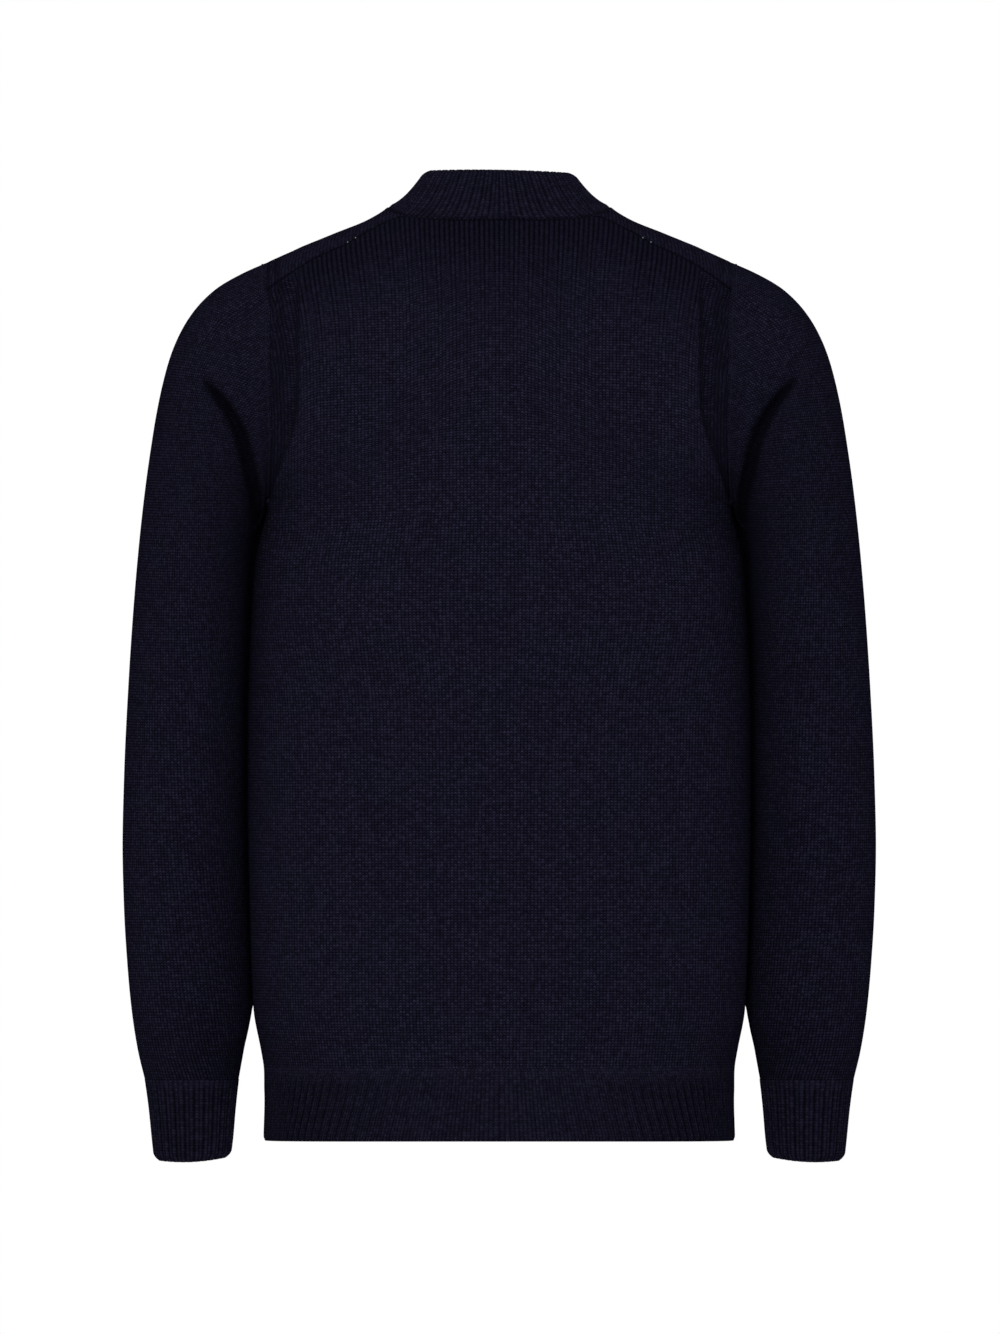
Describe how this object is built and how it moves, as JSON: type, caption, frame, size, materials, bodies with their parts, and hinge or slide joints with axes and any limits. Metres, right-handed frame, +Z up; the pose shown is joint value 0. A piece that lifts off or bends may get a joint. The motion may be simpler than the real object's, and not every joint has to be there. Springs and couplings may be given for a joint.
{
  "type": "high neck sweater",
  "caption": "High neck sweater in plain knit with a ribbed stand-up collar, ribbed hem and ribbed cuffs, filled out as it is worn, hollow and open at neck, hem and cuffs.",
  "frame": {"origin": "middle of the neck, at the height where the shoulders meet it, which is where a wearer holds the sweater up", "axes": "+Z up, the front faces -Y, the back faces +Y, the wearer's left side is +X"},
  "size_m": [0.565, 0.2443, 0.7439],
  "materials": {
    "plain_knit": "dark navy plain knit, matt, with a faint soft nap",
    "rib_knit": "dark navy rib knit, matt"
  },
  "bodies": {
    "root": {"back_panel": "plain_knit", "front_panel": "plain_knit", "sleeve_left": "plain_knit", "sleeve_right": "plain_knit", "collar_rib": "rib_knit", "hem_rib_back": "rib_knit", "hem_rib_front": "rib_knit", "cuff_left": "rib_knit", "cuff_right": "rib_knit"}
  },
  "joints": []
}
